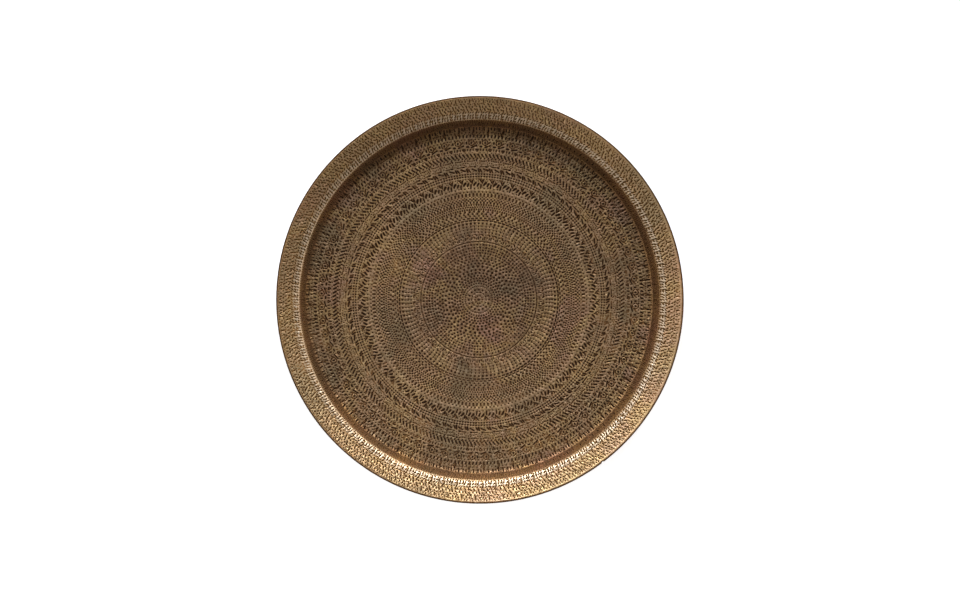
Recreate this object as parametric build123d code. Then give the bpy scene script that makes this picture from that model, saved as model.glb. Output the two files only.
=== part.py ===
"""Round brass tray, 600 mm across: one spun sheet whose edge is rolled round a steel wire.

The tray stands on the XY plane with +Z up, and the origin is the centre of its flat underside.
All lengths are in millimetres and all angles in degrees.
"""

import math
import os

from build123d import *

# The tray as a whole
tray_diameter = 600.0
sheet_thickness = 1.2

# The sheet's shape, from the centre outwards, along the line halfway through its thickness
floor_radius = 257.5
floor_bend_radius = 5.6
wall_lean = 17.5
shoulder_height = 29.2
shoulder_bend_radius = 7.4
rim_rise = 12.0

# The wired edge
wire_diameter = 3.0
wire_clearance = 0.05
roll_turn = 290.0
wire_gap = 4.0
wire_gap_direction = -53.0

# The rolled edge wraps the wire, and its outer face is the tray's widest circle
roll_radius = wire_diameter / 2 + wire_clearance + sheet_thickness / 2
wire_circle_radius = tray_diameter / 2 - roll_radius - sheet_thickness / 2

# The rim leaves the shoulder at its rise angle and runs straight into the roll
rise = math.radians(rim_rise)
floor_height = sheet_thickness / 2
wall_width = (shoulder_height - floor_height) * math.tan(math.radians(wall_lean))
shoulder_radius = floor_radius + wall_width
rim_end_radius = wire_circle_radius - roll_radius * math.sin(rise)
rim_end_height = shoulder_height + (rim_end_radius - shoulder_radius) * math.tan(rise)
wire_height = rim_end_height - roll_radius * math.cos(rise)


def make_tray_body() -> Part:
    """The sheet: flat floor, steep wall, rounded shoulder, rising rim and rolled edge."""
    with BuildPart() as tray_body:
        with BuildSketch(Plane.XZ):
            with BuildLine():
                FilletPolyline(
                    (0, floor_height),
                    (floor_radius, floor_height),
                    (shoulder_radius, shoulder_height),
                    (rim_end_radius, rim_end_height),
                    radius=(floor_bend_radius, shoulder_bend_radius),
                )
                CenterArc(
                    (wire_circle_radius, wire_height),
                    roll_radius,
                    start_angle=90 + rim_rise,
                    arc_size=-roll_turn,
                )
                offset(amount=sheet_thickness / 2, side=Side.BOTH)
            make_face()
            split(bisect_by=Plane.YZ, keep=Keep.TOP)
        revolve(axis=Axis.Z)
    return tray_body.part


def make_rim_wire() -> Part:
    """The stiffening wire: an open ring of round steel whose two ends nearly meet."""
    gap_angle = math.degrees(wire_gap / wire_circle_radius)
    first_end = Plane.XZ.rotated((0, 0, wire_gap_direction + gap_angle / 2))
    with BuildPart() as rim_wire:
        with BuildSketch(first_end):
            with Locations((wire_circle_radius, wire_height)):
                Circle(wire_diameter / 2)
        revolve(axis=Axis.Z, revolution_arc=360 - gap_angle)
    return rim_wire.part


os.makedirs("parts", exist_ok=True)
export_step(make_tray_body(), "parts/tray_body.step")
export_step(make_rim_wire(), "parts/rim_wire.step")
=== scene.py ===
import math
import random

import bmesh
import bpy
import numpy as np
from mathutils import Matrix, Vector, kdtree, noise
from mathutils.geometry import delaunay_2d_cdt


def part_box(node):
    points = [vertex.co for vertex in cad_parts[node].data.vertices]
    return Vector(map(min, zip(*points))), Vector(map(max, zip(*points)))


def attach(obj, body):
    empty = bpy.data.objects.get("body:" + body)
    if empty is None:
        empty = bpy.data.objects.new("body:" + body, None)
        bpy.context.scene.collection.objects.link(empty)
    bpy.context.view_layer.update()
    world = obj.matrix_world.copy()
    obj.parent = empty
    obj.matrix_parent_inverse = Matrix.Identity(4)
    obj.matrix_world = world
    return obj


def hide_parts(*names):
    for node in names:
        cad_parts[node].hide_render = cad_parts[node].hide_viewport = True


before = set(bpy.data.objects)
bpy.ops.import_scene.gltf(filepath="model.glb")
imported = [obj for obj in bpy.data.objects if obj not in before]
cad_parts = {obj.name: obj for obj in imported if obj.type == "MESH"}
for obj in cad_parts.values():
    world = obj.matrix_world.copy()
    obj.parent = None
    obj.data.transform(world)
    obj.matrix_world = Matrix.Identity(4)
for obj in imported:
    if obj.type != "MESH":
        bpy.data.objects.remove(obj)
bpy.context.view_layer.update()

# The sheet is worked out in millimetres, and its mesh is made in metres.
MM = 0.001

# The frame gives the tray's radius and the wire's place. The rest repeats the sheet's own dimensions.
tray_low, tray_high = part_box("tray_body")
wire_low, wire_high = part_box("rim_wire")
TRAY_RADIUS = tray_high[0] / MM
WIRE_HEIGHT = (wire_low[2] + wire_high[2]) / 2 / MM
WIRE_RADIUS = (wire_high[2] - wire_low[2]) / 2 / MM
WIRE_CIRCLE = wire_high[0] / MM - WIRE_RADIUS
SHEET = 1.2
ROLL_RADIUS = TRAY_RADIUS - SHEET / 2 - WIRE_CIRCLE
FLOOR_RADIUS = 257.5
FLOOR_BEND = 5.6
WALL_SLOPE = math.radians(72.5)
SHOULDER_BEND = 7.4
RIM_RISE = math.radians(12)
ROLL_TURN = math.radians(290)

# The two ends of the wire nearly meet here, and the rolled edge is dented over the gap.
NICK_DIRECTION = math.radians(-53)
NICK_HALF_WIDTH = math.radians(0.42)
NICK_DEPTH = 1.5

# How bright the metal was left, from 0, in the dark middle of the floor, to 1, on the shoulder that cloths
# have rubbed, where the pale metal is also a painted highlight.
OUTER_FLOOR_POLISH = 0.16
RIM_POLISH = 0.5
ROLL_POLISH = 0.3
UNDERSIDE_POLISH = 0.1

# How much painted shade darkens the metal: it stands in for the shade on the wall, on the roll from this turn
# of it downwards, and inside the roll.
WALL_PAINTED_SHADE = 0.055
ROLL_PAINTED_SHADE = 0.36
INNER_PAINTED_SHADE = 0.5
SHADE_TURN = math.radians(15)

# Long shallow waves are left in the hand-worked floor, and fade out between these two radii.
WAVE_HEIGHT = 0.16
WAVES_FADE_FROM = 200
WAVES_FADE_TO = 250

rng = random.Random(7)


# ---------------------------------------------------------------- the sheet's shape

def make_path():
    """The line halfway through the sheet, from the centre to the end of the roll, and its length.

    The line is a row of straight and bent stretches: (distance along it, radius, height, heading, curvature)
    where each one starts."""
    rim_end_radius = WIRE_CIRCLE - ROLL_RADIUS * math.sin(RIM_RISE)
    rim_end_height = WIRE_HEIGHT + ROLL_RADIUS * math.cos(RIM_RISE)
    floor_height = SHEET / 2
    # The shoulder corner is where the wall's line meets the rim's.
    rise, wall = math.tan(RIM_RISE), math.tan(WALL_SLOPE)
    rim_rise_at_axis = rim_end_height - rise * rim_end_radius
    shoulder_radius = (rim_rise_at_axis - floor_height + wall * FLOOR_RADIUS) / (wall - rise)
    shoulder_height = floor_height + (shoulder_radius - FLOOR_RADIUS) * wall
    floor_trim = FLOOR_BEND * math.tan(WALL_SLOPE / 2)
    shoulder_trim = SHOULDER_BEND * math.tan((WALL_SLOPE - RIM_RISE) / 2)
    wall_length = math.dist((FLOOR_RADIUS, floor_height), (shoulder_radius, shoulder_height))
    rim_length = math.dist((shoulder_radius, shoulder_height), (rim_end_radius, rim_end_height))
    stretches = (
        (FLOOR_RADIUS - floor_trim, 0.0),
        (FLOOR_BEND * WALL_SLOPE, 1 / FLOOR_BEND),
        (wall_length - floor_trim - shoulder_trim, 0.0),
        (SHOULDER_BEND * (WALL_SLOPE - RIM_RISE), -1 / SHOULDER_BEND),
        (rim_length - shoulder_trim, 0.0),
        (ROLL_RADIUS * ROLL_TURN, -1 / ROLL_RADIUS),
    )
    path = []
    start, radius, height, heading = 0.0, 0.0, floor_height, 0.0
    for length, curvature in stretches:
        path.append((start, radius, height, heading, curvature))
        start += length
        radius, height, heading = step_along(radius, height, heading, curvature, length)
    return path, start


def step_along(radius, height, heading, curvature, distance):
    """Radius, height and heading after a distance along one stretch."""
    if curvature == 0:
        return radius + distance * np.cos(heading), height + distance * np.sin(heading), heading
    turned = heading + curvature * distance
    return (
        radius + (np.sin(turned) - np.sin(heading)) / curvature,
        height - (np.cos(turned) - np.cos(heading)) / curvature,
        turned,
    )


PATH, PATH_LENGTH = make_path()
FLOOR_END, WALL_START, WALL_END, RIM_START, RIM_END = (stretch[0] for stretch in PATH[1:])
# Where the painted shade on the roll begins.
SHADE_START = RIM_END + ROLL_RADIUS * SHADE_TURN


def sheet_points(along, angle, lift):
    """Points (mm) at a distance along the path, turned to an angle and lifted off the sheet's middle."""
    along = np.asarray(along, float)
    radius, height, heading = np.zeros_like(along), np.zeros_like(along), np.zeros_like(along)
    for start, r, z, h, curvature in PATH:
        here = along >= start
        radius[here], height[here], heading[here] = step_along(r, z, h, curvature, along[here] - start)
    radius = radius - np.sin(heading) * lift
    height = height + np.cos(heading) * lift
    x, y = radius * np.cos(angle), radius * np.sin(angle)
    return np.stack((x, y, height), axis=-1)


def along_at(radius):
    """Distance along the path where the upper face has this plan radius."""
    steps = np.linspace(0, RIM_END, 4000)
    upper = sheet_points(steps, 0.0, SHEET / 2)[:, 0]
    return float(np.interp(radius, upper, steps))


# ---------------------------------------------------------------- the punched marks

# A mark of the full width is this deep, its lip stands up by the burr, and its bottom has this share of its
# width.
FULL_HALF_WIDTH = 1.1
MARK_DEPTH = 0.55
BURR = 0.09
BOTTOM_SHARE = 0.5

# Where the outlines of two marks cross, the metal is half driven in and partly dark.
CROSSING_DEPTH = MARK_DEPTH / 2
CROSSING_MARK = 0.4

# A mark bites this much wider, all round, than the tip of its punch.
SPREAD = 0.67

# How far hand-held punches stray: in size and press as shares, in place in mm, and in lean in degrees.
SIZE_ERROR = 0.05
PRESS_ERROR = 0.15
PLACE_ERROR = 0.05
LEAN_ERROR = 2

# The rings of marks were struck a little off the centre of the shape.
PATTERN_SHIFT = -1.35

# Groups of strokes round each ring: on the inner floor, on the outer floor and wall, and on the rim.
INNER_GROUPS = 60
OUTER_GROUPS = 72
RIM_GROUPS = 90

# The matting between the rows: where it starts, how far from the rim's end it stops, its pitch, and the bare
# metal that it leaves round other marks.
MATTING_START = 176.0
MATTING_BORDER = 2.5
MATTING_PITCH = 2.8
MATTING_ROOM = 0.95

# Every mark that is struck: (distance along the path, angle, half length, half width, lean, bow, press).
marks = []


def stroke(across, out, half_length, half_width, lean=0, bow=0.0, press=1.0):
    """One stroke of a group.

    Across and out place it in its group, lean in degrees turns it from radial towards the next group (90 lies
    along the ring), bow bends it sideways, and press says how hard it was struck."""
    return (across, out, half_length, half_width, lean, bow, press)


def dot(across, out, half_width, press=1.0):
    """A round mark, a touch longer than it is wide."""
    return stroke(across, out, half_width * 1.05, half_width, press=press)


def punch_ring(along, count, strokes, phase=0.0):
    """Strikes one group of strokes over and over round a ring."""
    for k in range(count):
        turn = 2 * math.pi * (k + phase) / count
        for across, out, half_length, half_width, lean, bow, press in strokes:
            size = rng.uniform(1 - SIZE_ERROR, 1 + SIZE_ERROR)
            distance = along + out + rng.uniform(-PLACE_ERROR, PLACE_ERROR)
            marks.append((
                distance,
                turn + (across + rng.uniform(-PLACE_ERROR, PLACE_ERROR)) / distance,
                half_length * size + SPREAD,
                half_width * size + SPREAD,
                math.radians(lean + rng.uniform(-LEAN_ERROR, LEAN_ERROR)),
                bow,
                press * rng.uniform(1 - PRESS_ERROR, 1.0),
            ))


def punch_centre():
    """The middle of the floor, out to 84 mm: dots between two broken circles, then staggered rows of dots
    that swell and shrink again."""
    punch_ring(0.01, 1, [dot(0, 0, 1.6)])
    punch_ring(5.6, 10, [dot(0, 0, 0.9, press=0.6)])
    punch_ring(10.8, 14, [stroke(0, 0, 1.1, 0.3, lean=90)])
    punch_ring(15.0, 16, [dot(0, 0, 1.25)])
    punch_ring(19.9, 40, [stroke(0, 0, 0.6, 0.35, lean=90)])
    rows = (
        (24.2, 40, 0.0, 0.95), (27.9, 40, 0.5, 1.15),
        (31.9, 44, 0.7, 1.15), (35.5, 44, 0.3, 1.25), (39.7, 44, 0.8, 1.4), (44.3, 44, 0.75, 1.5),
        (49.3, 44, 0.2, 1.6),
        (54.0, 60, 0.0, 1.3), (57.8, 60, 0.5, 1.2), (61.5, 60, 0.0, 1.15), (65.1, 72, 0.5, 1.15),
    )
    for radius, count, phase, half_width in rows:
        punch_ring(radius, count, [dot(0, 0, half_width)], phase)
    pairs = 56
    for row, radius in enumerate((69.3, 73.4, 77.3, 81.7)):
        quarter = math.pi * radius / pairs / 2
        heavy_and_light = [dot(-quarter, 0, 1.25), dot(quarter, 0, 0.9, press=0.6)]
        punch_ring(radius, pairs, heavy_and_light, phase=0.5 * (row % 2))


def punch_inner_floor():
    """From 86 to 111 mm: a line of dashes, upright ticks, slanting wedges, and three rows of short pairs."""
    punch_ring(86.0, INNER_GROUPS, [
        stroke(0.7, 0, 1.6, 0.45, lean=90),
        stroke(-2.8, 0, 0.8, 0.4, lean=90),
        stroke(4.4, 0, 0.9, 0.2, lean=90),
    ])
    punch_ring(90.4, INNER_GROUPS, [
        stroke(3.6, -0.6, 1.1, 0.35),
        stroke(0.8, 0.8, 2.0, 0.35, lean=-6),
        stroke(-2.8, 1.8, 1.0, 0.4, lean=12, press=0.8),
    ])
    punch_ring(96.0, INNER_GROUPS, [
        stroke(4.2, 0, 1.8, 0.75, lean=35),
        stroke(-0.6, 0, 0.9, 0.3, press=0.7),
        stroke(-3.2, 0.2, 0.8, 0.2, lean=90, press=0.5),
    ])
    for radius in (100.4, 104.6, 108.8):
        punch_ring(radius, INNER_GROUPS, [
            stroke(-4.7, 0, 1.1, 0.55, lean=8),
            stroke(0.5, 0, 1.1, 0.55, lean=8),
            dot(-2.1, 0, 0.1, press=0.4),
        ])


def punch_grain():
    """From 113 to 160 mm: heavy dots and a nearly closed line, then rows that become finer outwards."""
    punch_ring(113.3, 120, [dot(0, 0, 1.45)])
    punch_ring(117.8, 120, [stroke(0, 0, 2.3, 0.95, lean=90)])
    punch_ring(120.9, 120, [stroke(0, 0, 1.9, 0.75, lean=90, press=0.85)], phase=0.5)
    punch_ring(124.1, 120, [stroke(0, 0, 1.3, 1.1, lean=30, press=0.9)])
    punch_ring(127.3, 120, [dot(0, 0, 1.3)], phase=0.33)
    punch_ring(130.6, 120, [dot(0, 0, 1.35)])
    punch_ring(133.9, 240, [stroke(0, 0, 1.35, 0.75, press=0.8)])
    punch_ring(137.4, 240, [dot(0, 0, 0.85)], phase=0.5)
    punch_ring(140.8, 240, [stroke(0, 0, 1.3, 0.75, press=0.8)])
    punch_ring(144.3, 180, [stroke(0, 0, 1.5, 1.0)], phase=0.5)
    punch_ring(147.1, 180, [dot(0, 0, 1.0)])
    punch_ring(149.5, 180, [dot(0, 0, 1.0)], phase=0.5)
    punch_ring(151.9, 180, [stroke(0, 0, 0.9, 0.5, lean=90, press=0.5)])
    punch_ring(154.2, 180, [dot(0, 0, 1.1)], phase=0.5)
    punch_ring(156.8, 180, [dot(0, 0, 1.1)], phase=0.5)
    punch_ring(160.0, 180, [dot(0, 0, 0.9, press=0.8)])


def punch_bold_band():
    """From 164 to 178 mm, the boldest band: a forked pair, an upright stroke, two thick arcs and two dots."""
    punch_ring(172.0, OUTER_GROUPS, [
        stroke(-2.9, 4.4, 2.3, 0.9, lean=31),
        stroke(-6.2, 3.1, 3.0, 0.85, lean=-17, bow=0.5),
        stroke(-3.0, -3.9, 3.4, 0.9, lean=-6),
        stroke(-9.4, -0.4, 3.6, 1.25, lean=-38, bow=0.6),
        stroke(-14.0, -1.6, 3.1, 1.05, lean=-26, bow=0.4),
        dot(-8.0, -7.2, 0.75),
        dot(-13.6, -6.5, 0.7),
    ])


def punch_middle_bands():
    """From 178 to 218 mm: even rows, wedges by slanting pairs, a dotted arc, then bold leaning strokes."""
    punch_ring(178.9, 288, [dot(0, 0, 0.6, press=0.6)])
    punch_ring(182.7, 288, [stroke(0, 0, 1.15, 0.95, lean=90)])
    punch_ring(186.3, 288, [stroke(0, 0, 1.15, 0.95, lean=90)])
    punch_ring(191.7, OUTER_GROUPS, [
        stroke(-10.2, 0.8, 4.2, 1.05, lean=67),
        stroke(-16.5, 0, 3.2, 1.15, lean=18),
        stroke(-3.1, -0.3, 2.9, 0.75, lean=29, press=0.8),
    ])
    punch_ring(197.2, OUTER_GROUPS, [
        stroke(-11.4, 0, 1.8, 1.0, lean=90),
        stroke(-5.2, 0, 3.4, 0.5, lean=90, press=0.6),
    ])
    arc = [dot(-1.2 - 2.5 * step, 0.35 * abs(step - 2) - 0.3, 0.72, press=0.8) for step in range(5)]
    punch_ring(205.7, OUTER_GROUPS, arc + [
        stroke(-14.8, 0.8, 1.3, 0.75, press=0.9),
        dot(-1.4, -3.0, 0.65, press=0.6),
        dot(-12.4, -2.6, 0.65, press=0.6),
        dot(-15.6, -2.9, 0.65, press=0.6),
        dot(-4.0, -5.6, 0.65, press=0.6),
        dot(-13.0, -5.4, 0.7, press=0.7),
    ])
    punch_ring(213.7, 240, [
        stroke(0, 0, 3.2, 1.05, lean=30),
        stroke(-3.0, -4.2, 1.5, 0.75, lean=-35, press=0.8),
    ])


def punch_outer_floor():
    """From 220 to 258 mm: wedges, long dashes, eyes, bowed strokes, then long tails by the wall's foot."""
    punch_ring(222.5, OUTER_GROUPS, [
        stroke(-16.7, 0.2, 2.5, 1.45, lean=90),
        dot(-16.7, -2.1, 0.9),
        stroke(-2.6, 0, 1.6, 0.55, press=0.6),
        stroke(-6.7, -0.3, 1.9, 0.7, lean=-15),
        stroke(-11.2, 0, 1.7, 0.6, press=0.7),
    ])
    punch_ring(227.1, OUTER_GROUPS, [
        stroke(-13.1, 0.4, 4.8, 0.9, lean=-70),
        stroke(-3.3, 0, 2.2, 1.2, lean=90),
    ])
    punch_ring(233.0, OUTER_GROUPS, eye(-9.4, 0) + [
        stroke(-2.0, 0, 1.9, 1.1),
        stroke(-16.0, 0, 2.1, 0.6, lean=-45, press=0.7),
    ])
    punch_ring(237.6, 288, [dot(0, 0, 0.75, press=0.8)])
    punch_ring(242.7, 288, [stroke(0, 0, 2.3, 0.8, lean=-12, bow=0.45)], phase=0.3)
    punch_ring(248.3, 288, [dot(0, 0, 0.65, press=0.7)], phase=0.6)
    punch_ring(254.2, OUTER_GROUPS, [
        stroke(-1.2, 0, 2.7, 0.95),
        stroke(-8.1, 0, 3.0, 1.0, lean=10),
        stroke(-13.6, -3.6, 6.2, 0.9, lean=-8, bow=-0.8),
        stroke(-19.0, 0, 2.0, 0.7, press=0.7),
    ])


def eye(across, out):
    """A slanting pupil in a faint ring of six curved strokes."""
    ring_radius = 3.7
    strokes = [stroke(across, out, 1.7, 1.15, lean=-15)]
    for side in range(6):
        direction = math.radians(60 * side)
        strokes.append(stroke(
            across + ring_radius * math.sin(direction),
            out + ring_radius * math.cos(direction),
            1.55, 0.5, lean=60 * side + 90, bow=-0.35, press=0.6,
        ))
    return strokes


def punch_wall():
    """Upright strokes up the steep wall, one long to two short, and a fine row where the shoulder begins."""
    pitch = 2 * math.pi * WALL_START / OUTER_GROUPS
    just_below_middle = (WALL_START + WALL_END) / 2 - 1.0
    punch_ring(just_below_middle, OUTER_GROUPS, [
        stroke(0, 0, 5.5, 0.9, lean=-4, press=0.8),
        stroke(-pitch * 0.26, -1.5, 2.4, 0.7, press=0.6),
        stroke(-pitch * 0.58, -1.0, 3.8, 0.85, lean=3, press=0.7),
    ])
    punch_ring(WALL_END + 0.5, 480, [stroke(0, 0, 0.9, 0.3, lean=14, press=0.7)])


def punch_rim():
    """Over the shoulder and out to the plain border: close rows of swaying strokes, the first of each group
    heavier than the rest, and fine ticks last."""
    rows = (
        (267.6, 5, -24, 1.4, 0.6), (271.7, 5, -30, 1.7, 0.65), (275.9, 5, -36, 1.5, 0.6),
        (280.0, 4, 32, 1.8, 0.7), (284.1, 4, 22, 1.6, 0.65), (288.1, 4, 60, 1.4, 0.6),
        (291.9, 4, 4, 1.6, 0.6), (295.0, 5, 0, 0.6, 0.35),
    )
    for row, (radius, per_group, lean, half_length, half_width) in enumerate(rows):
        pitch = 2 * math.pi * radius / RIM_GROUPS / per_group
        group = [stroke(0, 0, half_length * 1.25, half_width * 1.35, lean=lean)]
        for k in range(1, per_group):
            sway = math.sin(2.1 * k + 2 * row)
            across, out = -(k + 0.15 * sway) * pitch, 0.5 * sway
            group.append(stroke(across, out, half_length, half_width, lean + 25 * sway, press=0.8))
        punch_ring(along_at(radius), RIM_GROUPS, group, phase=0.37 * row)


def punch_matting():
    """Small strokes that roughen whatever room is left between the rows, from the bold band outwards."""
    spines = []
    for distance, turn, half_length, half_width, lean, _, _ in marks:
        core = max(0.0, half_length - half_width)
        x, y = distance * math.cos(turn) + PATTERN_SHIFT, distance * math.sin(turn)
        to_end_x, to_end_y = core * math.cos(turn + lean), core * math.sin(turn + lean)
        for step in (-1, -0.33, 0.33, 1):
            spines.append((x + step * to_end_x, y + step * to_end_y, half_width))
    tree = kdtree.KDTree(len(spines))
    for index, (x, y, _) in enumerate(spines):
        tree.insert((x, y, 0), index)
    tree.balance()
    for row, along in enumerate(np.arange(MATTING_START, RIM_END - MATTING_BORDER, MATTING_PITCH)):
        count = round(2 * math.pi * along / MATTING_PITCH)
        for k in range(count):
            turn = 2 * math.pi * (k + 0.5 * (row % 2)) / count
            place = (along * math.cos(turn) + PATTERN_SHIFT, along * math.sin(turn), 0)
            _, nearest, gap = tree.find(place)
            if gap > spines[nearest][2] + MATTING_ROOM:
                lean = math.radians(rng.uniform(-40, 40))
                half_length, half_width = rng.uniform(1.1, 1.4), rng.uniform(0.75, 0.95)
                marks.append((along, turn, half_length, half_width, lean, 0.0, rng.uniform(0.6, 0.9)))


def punch_everything():
    """Every row from the centre outwards, then the matting into what room is left."""
    for punch in (
        punch_centre, punch_inner_floor, punch_grain, punch_bold_band, punch_middle_bands, punch_outer_floor,
        punch_wall, punch_rim, punch_matting,
    ):
        punch()


def wear_at(x, y):
    """How strongly a mark reads, from 0, rubbed away, to 1: it changes in broad patches and in small ones."""
    broad_patch, small_patch = 62, 19
    broad = noise.noise(Vector((x / broad_patch, y / broad_patch, 3.7)))
    fine = noise.noise(Vector((x / small_patch, y / small_patch, 8.1)))
    return min(1.0, max(0.0, 0.9 + 0.5 * broad + 0.42 * fine))


def outline_points(table, shrink, bowed):
    """Corners of every mark's outline, one row of points per mark, in the developed plane.

    In that plane a point lies in its own direction, at its distance along the path from the centre. A mark is
    a line with round ends: six corners, or eight where it is bowed."""
    along, angle, half_length, half_width, lean, bow = table.T[:6]
    core = half_length - half_width
    reach = half_width * shrink
    ends = [(1, 1.0, 0.0), (1, 0.5, 0.87), (-1, 0.5, 0.87), (-1, 1.0, 0.0), (-1, 0.5, -0.87), (1, 0.5, -0.87)]
    if bowed:
        ends = ends[:2] + [(0, 0.0, 1.0)] + ends[2:5] + [(0, 0.0, -1.0)] + ends[5:]
    centre_x, centre_y = along * np.cos(angle) + PATTERN_SHIFT, along * np.sin(angle)
    direction = angle + lean
    corners = []
    for side, cap, width in ends:
        forward = side * (core + reach * cap)
        sideways = reach * width + bow * (1 - (forward / half_length) ** 2)
        corners.append(np.stack((
            centre_x + forward * np.cos(direction) - sideways * np.sin(direction),
            centre_y + forward * np.sin(direction) + sideways * np.cos(direction),
        ), axis=-1))
    return np.stack(corners, axis=1)


def stamp(points, edges, depths, patina):
    """Adds every mark's outline and its smaller bottom outline to the developed plane.

    Wide marks are driven deeper than narrow ones."""
    table = np.array(marks)
    x, y = table[:, 0] * np.cos(table[:, 1]), table[:, 0] * np.sin(table[:, 1])
    table[:, 6] *= [wear_at(a, b) for a, b in zip(x, y)]
    for bowed in (False, True):
        chosen = table[(table[:, 5] != 0) == bowed]
        for shrink, depth in ((1.0, -BURR), (BOTTOM_SHARE, MARK_DEPTH)):
            rows = outline_points(chosen, shrink, bowed)
            count = rows.shape[1]
            first = len(points)
            points.extend(map(tuple, rows.reshape(-1, 2)))
            press = np.repeat(chosen[:, 6], count)
            size = np.repeat(np.clip(chosen[:, 3] / FULL_HALF_WIDTH, 0.6, 1.1), count)
            depths.extend(press * size * depth)
            patina.extend(press * (depth > 0))
            for mark in range(len(rows)):
                base = first + mark * count
                edges.extend((base + c, base + (c + 1) % count) for c in range(count))


# ---------------------------------------------------------------- the sheet's mesh

# Columns of the mesh round the rolled edge.
RIM_COLUMNS = 360

# Rings of points that fill the faces, clear of the marks' corners by the fill room:
# (first ring, end of the rings, distance between rings, spacing round a ring).
FILL_ROOM = 1.0
UPPER_FILL = (
    (3.0, FLOOR_END - 2, 5.0, 6.0),
    (FLOOR_END, RIM_START + 1, 1.5, 2.6),
    (RIM_START + 3, RIM_END - 1, 3.0, 4.0),
)
LOWER_FILL = ((4.0, FLOOR_END - 3, 6.0, 7.0),)

# Painted shade on the wall, and polish, along the upper face: (distance along the path, amount).
UPPER_PAINTED_SHADE = (
    (FLOOR_END - 5, 0.0), (FLOOR_END + 3, WALL_PAINTED_SHADE), (WALL_END - 3, WALL_PAINTED_SHADE), (WALL_END + 1, 0.0),
)
# Polish of 1 over the shoulder is rubbed metal and also paints a pale highlight ring there.
UPPER_POLISH = (
    (80, 0.0), (150, OUTER_FLOOR_POLISH), (FLOOR_END, OUTER_FLOOR_POLISH), (WALL_START, 0.1),
    (WALL_END, 0.3), (RIM_START - 3, 1.0), (RIM_START + 2, 1.0), (RIM_START + 6, RIM_POLISH),
)


def rim_angles():
    """Directions of the mesh's columns: even, with more of them across the nick."""
    full_turn = 2 * math.pi
    even = [full_turn * k / RIM_COLUMNS for k in range(RIM_COLUMNS)]
    clear = [a for a in even if abs(math.remainder(a - NICK_DIRECTION, full_turn)) > NICK_HALF_WIDTH * 1.3]
    near = [NICK_DIRECTION + NICK_HALF_WIDTH * share for share in (-1, -0.6, -0.2, 0.2, 0.6, 1)]
    return np.array(sorted(clear + [a % full_turn for a in near]))


COLUMNS = rim_angles()


def fill_points(stretches, taken):
    """Points on rings over the stretches, left out wherever a taken point is near."""
    tree = kdtree.KDTree(max(1, len(taken)))
    for index, (x, y) in enumerate(taken):
        tree.insert((x, y, 0), index)
    tree.balance()
    rings = []
    for start, end, step, spacing in stretches:
        rings += [(along, spacing) for along in np.arange(start, end, step)]
    found = []
    for row, (along, spacing) in enumerate(rings):
        count = max(1, round(2 * math.pi * along / spacing))
        for k in range(count):
            angle = 2 * math.pi * (k + 0.5 * (row % 2)) / count
            x, y = along * math.cos(angle), along * math.sin(angle)
            if not taken or tree.find((x, y, 0))[2] > FILL_ROOM:
                found.append((x, y))
    return found


def triangulate(points, edges, border):
    """Triangles inside the border and inside every outline, with all edges kept.

    Returns the points, the faces and, for each point, which points it came from: none where edges cross."""
    first = len(points)
    ring = [(border * math.cos(a), border * math.sin(a)) for a in COLUMNS]
    points = points + ring
    edges = edges + [(first + k, first + (k + 1) % len(ring)) for k in range(len(ring))]
    inside_only, tolerance = 1, 1e-5
    made = delaunay_2d_cdt([Vector(p) for p in points], edges, [], inside_only, tolerance)
    return np.array([tuple(v) for v in made[0]]), made[2], made[3]


def upper_face():
    """The punched upper face, out to where the roll begins. A mark of the last row may reach onto the roll.

    Returns points (mm), faces, and each point's mark, which is also painted shade on the wall, and polish."""
    points, edges, depths, patina = [], [], [], []
    stamp(points, edges, depths, patina)
    points += fill_points(UPPER_FILL, points)
    flat, faces, origins = triangulate(points, edges, RIM_END)
    unmarked = [0.0] * (len(points) + len(COLUMNS) - len(depths))
    depths += unmarked
    patina += unmarked
    depth = np.array([max((depths[i] for i in source), default=CROSSING_DEPTH) for source in origins])
    mark = np.array([max((patina[i] for i in source), default=CROSSING_MARK) for source in origins])
    along, angle = np.hypot(flat[:, 0], flat[:, 1]), np.arctan2(flat[:, 1], flat[:, 0])
    # The wall's painted shade is merged into the mark values.
    painted_shade = np.interp(along, *zip(*UPPER_PAINTED_SHADE))
    polish_and_highlight = np.interp(along, *zip(*UPPER_POLISH))
    return sheet_points(along, angle, SHEET / 2 - depth), faces, np.maximum(mark, painted_shade), polish_and_highlight


def lower_face():
    """The flat underside of the floor, plain and dull."""
    flat, faces, _ = triangulate(fill_points(LOWER_FILL, []), [], FLOOR_END)
    along, angle = np.hypot(flat[:, 0], flat[:, 1]), np.arctan2(flat[:, 1], flat[:, 0])
    mark, polish_and_highlight = np.zeros(len(flat)), np.full(len(flat), UNDERSIDE_POLISH)
    return sheet_points(along, angle, -SHEET / 2), faces, mark, polish_and_highlight


def edge_rows():
    """Rows round the roll, over its end and back under the rim and wall.

    Each row is (distance along, lift, mark, polish). On the roll and inside it the mark is painted shade."""
    half = SHEET / 2
    rows = [(along, half, 0.0, RIM_POLISH) for along in np.linspace(RIM_END, SHADE_START, 4)]
    # From the turn downwards, the roll is darkened by painted shade.
    painted_shade_steps = np.linspace(SHADE_START, PATH_LENGTH, 17)[1:]
    rows += [(along, half, ROLL_PAINTED_SHADE, ROLL_POLISH) for along in painted_shade_steps]
    # Over the roll's end and back under the rim, more painted shade.
    rows += [(PATH_LENGTH, half * share, INNER_PAINTED_SHADE, RIM_POLISH) for share in (0.5, 0.0, -0.5)]
    rows += [(along, -half, INNER_PAINTED_SHADE, 0.0) for along in np.linspace(PATH_LENGTH, RIM_END, 11)]
    for start, end, steps in (
        (RIM_END, RIM_START, 6), (RIM_START, WALL_END, 7), (WALL_END, WALL_START, 6),
        (WALL_START, FLOOR_END, 6),
    ):
        rows += [(along, -half, 0.0, UNDERSIDE_POLISH) for along in np.linspace(start, end, steps)[1:]]
    return rows


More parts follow.
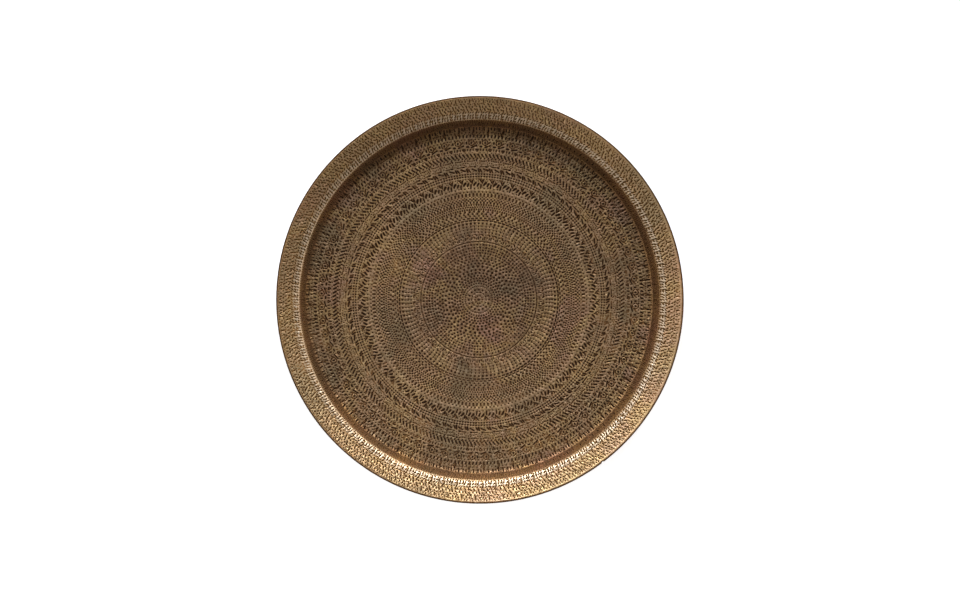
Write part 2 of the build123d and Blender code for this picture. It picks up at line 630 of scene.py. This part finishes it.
def edge_band():
    """The rolled edge and everything under it, as rows of quads that meet the upper and lower faces."""
    points, faces, patina_and_painted_shade, polish_and_highlight_values = [], [], [], []
    count = len(COLUMNS)
    for row, (along, lift, mark, polish_and_highlight) in enumerate(edge_rows()):
        points.append(sheet_points(np.full(count, along), COLUMNS, lift))
        # On the roll these mark values are painted shade.
        patina_and_painted_shade.append(np.full(count, mark))
        polish_and_highlight_values.append(np.full(count, polish_and_highlight))
        if row:
            last, this = (row - 1) * count, row * count
            for k in range(count):
                after = (k + 1) % count
                faces.append((last + k, last + after, this + after, this + k))
    return np.concatenate(points), faces, np.concatenate(patina_and_painted_shade), np.concatenate(polish_and_highlight_values)


def dent(points):
    """Presses the rolled edge in over the gap between the wire's ends."""
    angle = np.arctan2(points[:, 1], points[:, 0])
    radius = np.hypot(points[:, 0], points[:, 1])
    across = np.clip(1 - ((angle - NICK_DIRECTION) / NICK_HALF_WIDTH) ** 2, 0, 1)
    outward = np.clip((radius - (WIRE_CIRCLE - ROLL_RADIUS)) / (2 * ROLL_RADIUS), 0, 1)
    pressed = radius - NICK_DEPTH * across * outward
    points[:, 0], points[:, 1] = pressed * np.cos(angle), pressed * np.sin(angle)
    return points


def warp(points):
    """Raises the floor by its long shallow waves, which never dip below the base or reach the wall."""
    x, y = points[:, 0], points[:, 1]
    radius = np.hypot(x, y)
    along_sides = np.sin(x / 38 + 0.7) * np.sin(y / 45 + 1.9)
    along_diagonals = 0.5 * np.sin((x + y) / 27) * np.sin((x - y) / 33 + 0.6)
    share = 1 + (along_sides + along_diagonals) / 1.5
    fade = np.clip((WAVES_FADE_TO - radius) / (WAVES_FADE_TO - WAVES_FADE_FROM), 0, 1)
    points[:, 2] += WAVE_HEIGHT * share * fade
    return points


def build_sheet():
    """Joins the upper face, the edge band and the lower face into one shell."""
    points, faces, patina_and_painted_shade, polish_and_highlight_values = [], [], [], []
    for part_points, part_faces, mark, polish_and_highlight in (upper_face(), edge_band(), lower_face()):
        first = len(points)
        points.extend(part_points)
        patina_and_painted_shade.extend(mark)
        polish_and_highlight_values.extend(polish_and_highlight)
        faces.extend(tuple(first + corner for corner in face) for face in part_faces)
    points = warp(dent(np.array(points))) * MM
    seam_gap = 2e-6
    mesh = bpy.data.meshes.new("tray_sheet")
    mesh.from_pydata(points.tolist(), [], faces)
    # The mark attribute holds the marks' patina and painted shade on the wall and roll; polish also holds the
    # shoulder's painted highlight.
    for name, values in (("mark", patina_and_painted_shade), ("polish_and_highlight", polish_and_highlight_values)):
        attribute = mesh.attributes.new(name, "FLOAT", "POINT")
        attribute.data.foreach_set("value", np.array(values, np.float32))
    shell = bmesh.new()
    shell.from_mesh(mesh)
    bmesh.ops.remove_doubles(shell, verts=shell.verts, dist=seam_gap)
    bmesh.ops.recalc_face_normals(shell, faces=shell.faces)
    shell.to_mesh(mesh)
    shell.free()
    mesh.shade_smooth()
    sheet = bpy.data.objects.new("tray_sheet", mesh)
    bpy.context.scene.collection.objects.link(sheet)
    return sheet


# ---------------------------------------------------------------- materials

def new_material(name):
    """A node material with its shader, and a helper that adds nodes to it."""
    material = bpy.data.materials.new(name)
    material.use_nodes = True
    tree = material.node_tree
    shader = tree.nodes["Principled BSDF"]

    def add(kind, **settings):
        node = tree.nodes.new(kind)
        for key, value in settings.items():
            setattr(node, key, value)
        return node

    return material, tree, shader, add


BLACK = (0, 0, 0)
WHITE = (1, 1, 1)


def grey(level):
    """A neutral colour of this brightness."""
    return (level, level, level)


def antique_brass():
    """Aged brass: brown, olive, golden and reddish patches, dark crust in the marks, rubbed high spots whose
    pale shoulder is also a painted highlight, and painted shade on the wall and roll.
    """
    material, tree, shader, add = new_material("antique_brass")
    link = tree.links.new
    coordinates = add("ShaderNodeTexCoord")

    def noise_at(scale, detail, roughness=0.5):
        node = add("ShaderNodeTexNoise")
        node.inputs["Scale"].default_value = scale
        node.inputs["Detail"].default_value = detail
        node.inputs["Roughness"].default_value = roughness
        link(coordinates.outputs["Object"], node.inputs["Vector"])
        return node.outputs["Fac"]

    def ramp(value, *stops):
        node = add("ShaderNodeValToRGB")
        elements = node.color_ramp.elements
        while len(elements) < len(stops):
            elements.new(0.5)
        for element, (position, colour) in zip(elements, stops):
            element.position = position
            element.color = (*colour, 1)
        link(value, node.inputs["Fac"])
        return node.outputs["Color"]

    def mix(share, a, b, blend="MIX"):
        node = add("ShaderNodeMix", data_type="RGBA", blend_type=blend)
        for socket, value in (("Factor", share), ("A", a), ("B", b)):
            target = next(s for s in node.inputs if s.name == socket and s.enabled)
            if isinstance(value, (float, int)):
                target.default_value = value
            elif isinstance(value, tuple):
                target.default_value = (*value, 1)
            else:
                link(value, target)
        return next(s for s in node.outputs if s.enabled)

    patches = ramp(
        noise_at(11.0, 3.0, 0.55),
        (0.36, (0.36, 0.235, 0.125)),
        (0.46, (0.56, 0.295, 0.15)),
        (0.54, (0.64, 0.37, 0.14)),
        (0.64, (0.53, 0.25, 0.15)),
    )
    dulled = ramp(noise_at(23.0, 4.0, 0.6), (0.48, BLACK), (0.72, grey(0.5)))
    speckled = ramp(noise_at(170.0, 3.0, 0.6), (0.35, BLACK), (0.75, grey(0.35)))
    mottled = mix(speckled, mix(dulled, patches, (0.33, 0.235, 0.145)), (0.22, 0.135, 0.065))
    for scale, darkest, brightest in (
        (280.0, (0.48, 0.38, 0.24), (1.8, 1.95, 2.15)), (6.0, grey(0.78), grey(1.2)),
    ):
        share = ramp(noise_at(scale, 5.0, 0.62), (0.36, darkest), (0.64, brightest))
        mottled = mix(1.0, mottled, share, blend="MULTIPLY")

    # The mark attribute also carries painted shade on the wall and roll, and polish the shoulder's painted
    # highlight.
    mark = add("ShaderNodeAttribute", attribute_name="mark").outputs["Fac"]
    polish_and_highlight = add("ShaderNodeAttribute", attribute_name="polish_and_highlight").outputs["Fac"]
    # Between the marks: a brown film on the floor, plain metal on the rim, pale metal on the shoulder, which
    # is rubbed and also a painted highlight.
    filmed = mix(0.75, mottled, (0.045, 0.025, 0.012))
    plain = mix(0.65, mottled, (0.42, 0.275, 0.13))
    cleaned = ramp(polish_and_highlight, (0.0, BLACK), (RIM_POLISH, WHITE))
    shoulder_wear_and_highlight = ramp(polish_and_highlight, (RIM_POLISH, BLACK), (1.0, grey(0.7)))
    lands = mix(shoulder_wear_and_highlight, mix(cleaned, filmed, plain), (0.66, 0.51, 0.36))

    # A brown stain at the lip of each mark, and a crust in it, nearly black, or browner where it was scoured.
    # The same stain and crust paint shade on the wall and the roll, where the mark values stand for shade.
    stained_and_shaded = mix(ramp(mark, (0.0, BLACK), (0.15, WHITE)), lands, (0.76, 0.52, 0.25), blend="MULTIPLY")
    scoured = ramp(polish_and_highlight, (0.3, BLACK), (RIM_POLISH, WHITE))
    crust_and_shade_colour = mix(scoured, (0.018, 0.008, 0.003), (0.06, 0.03, 0.01))
    crust_and_shade_share = ramp(mark, (0.08, BLACK), (0.45, WHITE))
    link(mix(crust_and_shade_share, stained_and_shaded, crust_and_shade_colour), shader.inputs["Base Color"])

    roughness = add("ShaderNodeMapRange")
    roughness.inputs["To Min"].default_value = 0.46
    roughness.inputs["To Max"].default_value = 0.64
    link(noise_at(60.0, 4.0, 0.6), roughness.inputs["Value"])
    smoother = add("ShaderNodeMath", operation="MULTIPLY_ADD")
    link(cleaned, smoother.inputs[0])
    smoother.inputs[1].default_value = -0.07
    link(roughness.outputs["Result"], smoother.inputs[2])
    # The crust in the marks is dull and isn't metal.
    for socket, metal, crust in (
        ("Roughness", smoother.outputs["Value"], 0.9),
        ("Metallic", 0.8, 0.0),
        ("Specular IOR Level", 0.5, 0.05),
    ):
        blend = add("ShaderNodeMix", data_type="FLOAT")
        link(crust_and_shade_share, blend.inputs["Factor"])
        if isinstance(metal, float):
            blend.inputs["A"].default_value = metal
        else:
            link(metal, blend.inputs["A"])
        blend.inputs["B"].default_value = crust
        link(blend.outputs["Result"], shader.inputs[socket])

    bump = add("ShaderNodeBump")
    bump.inputs["Strength"].default_value = 0.35
    bump.inputs["Distance"].default_value = 0.0004
    link(noise_at(420.0, 4.0, 0.6), bump.inputs["Height"])
    link(bump.outputs["Normal"], shader.inputs["Normal"])
    return material


def drawn_steel():
    """The hidden wire: dull drawn steel with faint lengthwise streaks."""
    material, tree, shader, add = new_material("drawn_steel")
    streaks = add("ShaderNodeTexNoise")
    streaks.inputs["Scale"].default_value = 700.0
    tint = add("ShaderNodeValToRGB")
    tint.color_ramp.elements[0].color = (0.28, 0.27, 0.26, 1)
    tint.color_ramp.elements[1].color = (0.5, 0.49, 0.47, 1)
    tree.links.new(streaks.outputs["Fac"], tint.inputs["Fac"])
    tree.links.new(tint.outputs["Color"], shader.inputs["Base Color"])
    shader.inputs["Metallic"].default_value = 1.0
    shader.inputs["Roughness"].default_value = 0.45
    return material


def paper_floor():
    """Plain white paper, lit from below as well, so that it stays white beside the tray."""
    material, _, shader, _ = new_material("paper_floor")
    shader.inputs["Base Color"].default_value = (0.85, 0.85, 0.85, 1)
    shader.inputs["Roughness"].default_value = 0.9
    shader.inputs["Emission Color"].default_value = (1, 1, 1, 1)
    shader.inputs["Emission Strength"].default_value = 0.8
    return material


# ---------------------------------------------------------------- the object

punch_everything()
sheet = build_sheet()
sheet.data.materials.append(antique_brass())
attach(sheet, "root")
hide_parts("tray_body")

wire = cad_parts["rim_wire"]
steel = drawn_steel()
for wire_slot in wire.material_slots:
    wire_slot.material = steel


# ---------------------------------------------------------------- studio

# The bright horizon reaches up to this angle off the vertical.
HORIZON_TOP = 74

# The tray's share of the picture's width.
PICTURE_SHARE = 0.42521


def add_floor():
    """A wide sheet of paper just under the tray."""
    half = 12.0
    level = tray_low[2] - 0.0002
    mesh = bpy.data.meshes.new("studio_floor")
    corners = [(-half, -half, level), (half, -half, level), (half, half, level), (-half, half, level)]
    mesh.from_pydata(corners, [], [(0, 1, 2, 3)])
    floor = bpy.data.objects.new("studio_floor", mesh)
    floor.data.materials.append(paper_floor())
    bpy.context.scene.collection.objects.link(floor)


def towards(azimuth, off_vertical):
    """The direction at an azimuth (from +X towards +Y) and an angle off the vertical."""
    around, down = math.radians(azimuth), math.radians(off_vertical)
    return Vector((math.cos(around) * math.sin(down), math.sin(around) * math.sin(down), math.cos(down)))


def add_key(name, azimuth, off_vertical, power, colour):
    """A small lamp feathered across the tray: it is aimed at the far rim, and fades out at the near rim."""
    distance, radius, cone_to_breadth = 3.0, TRAY_RADIUS * MM, 2.2
    back = towards(azimuth, off_vertical)
    far_rim = -towards(azimuth, 90) * radius
    breadth = 2 * radius * math.cos(math.radians(off_vertical)) / distance
    lamp = bpy.data.lights.new(name, "SPOT")
    lamp.energy = power
    lamp.color = colour
    lamp.shadow_soft_size = 0.2
    lamp.spot_size = cone_to_breadth * breadth
    lamp.spot_blend = 1.0
    key = bpy.data.objects.new(name, lamp)
    key.location = back * distance
    key.rotation_euler = (key.location - far_rim).to_track_quat("Z", "Y").to_euler()
    bpy.context.scene.collection.objects.link(key)


def add_world(horizon, panels):
    """A dark room with a bright horizon and soft round panels.

    Each panel is (azimuth, angle off the vertical, half width in degrees, brightness)."""
    world = bpy.data.worlds.new("studio")
    world.use_nodes = True
    tree = world.node_tree
    link = tree.links.new
    direction = tree.nodes.new("ShaderNodeTexCoord").outputs["Generated"]

    def fade(value, dark_at, bright_at, brightness):
        node = tree.nodes.new("ShaderNodeMapRange")
        node.interpolation_type = "SMOOTHSTEP"
        node.inputs["From Min"].default_value = math.cos(math.radians(dark_at))
        node.inputs["From Max"].default_value = math.cos(math.radians(bright_at))
        node.inputs["To Min"].default_value = 0.0
        node.inputs["To Max"].default_value = brightness
        link(value, node.inputs["Value"])
        return node.outputs["Result"]

    def facing(azimuth, off_vertical):
        node = tree.nodes.new("ShaderNodeVectorMath")
        node.operation = "DOT_PRODUCT"
        node.inputs[1].default_value = towards(azimuth, off_vertical)
        link(direction, node.inputs[0])
        return node.outputs["Value"]

    total = fade(facing(0, 0), HORIZON_TOP - 5, HORIZON_TOP + 5, horizon)
    for azimuth, off_vertical, half_width, brightness in panels:
        joined = tree.nodes.new("ShaderNodeMath")
        joined.operation = "ADD"
        panel = fade(facing(azimuth, off_vertical), half_width * 1.3, half_width * 0.7, brightness)
        link(total, joined.inputs[0])
        link(panel, joined.inputs[1])
        total = joined.outputs["Value"]
    link(total, tree.nodes["Background"].inputs["Strength"])
    tree.nodes["Background"].inputs["Color"].default_value = (1, 1, 1, 1)
    bpy.context.scene.world = world


def add_camera():
    """Almost straight above the tray, a touch towards -X, with +Y up in the picture."""
    distance, lean = 4.0, math.radians(1.65)
    off_axis, rim_height = (-0.0006, -0.0003), tray_high[2]
    data = bpy.data.cameras.new("camera")
    data.sensor_width = 36.0
    data.lens = data.sensor_width * distance * PICTURE_SHARE / (2 * TRAY_RADIUS * MM)
    camera = bpy.data.objects.new("camera", data)
    aim = Vector((*off_axis, rim_height))
    back = Vector((-math.sin(lean), 0, math.cos(lean)))
    camera.location = aim + back * distance
    camera.rotation_euler = (0, -lean, 0)
    bpy.context.scene.collection.objects.link(camera)
    bpy.context.scene.camera = camera


add_floor()
add_key("key_steep", azimuth=95, off_vertical=40, power=340, colour=(0.82, 1.0, 1.25))
add_key("key_low", azimuth=95, off_vertical=58, power=260, colour=(1, 1, 1))
add_key("key_side", azimuth=60, off_vertical=52, power=200, colour=(1.05, 1.0, 0.92))
add_world(horizon=1.2, panels=((180, 41, 26, 1.35), (0, 72, 28, 1.0)))
add_camera()
bpy.context.scene.view_settings.view_transform = "Standard"
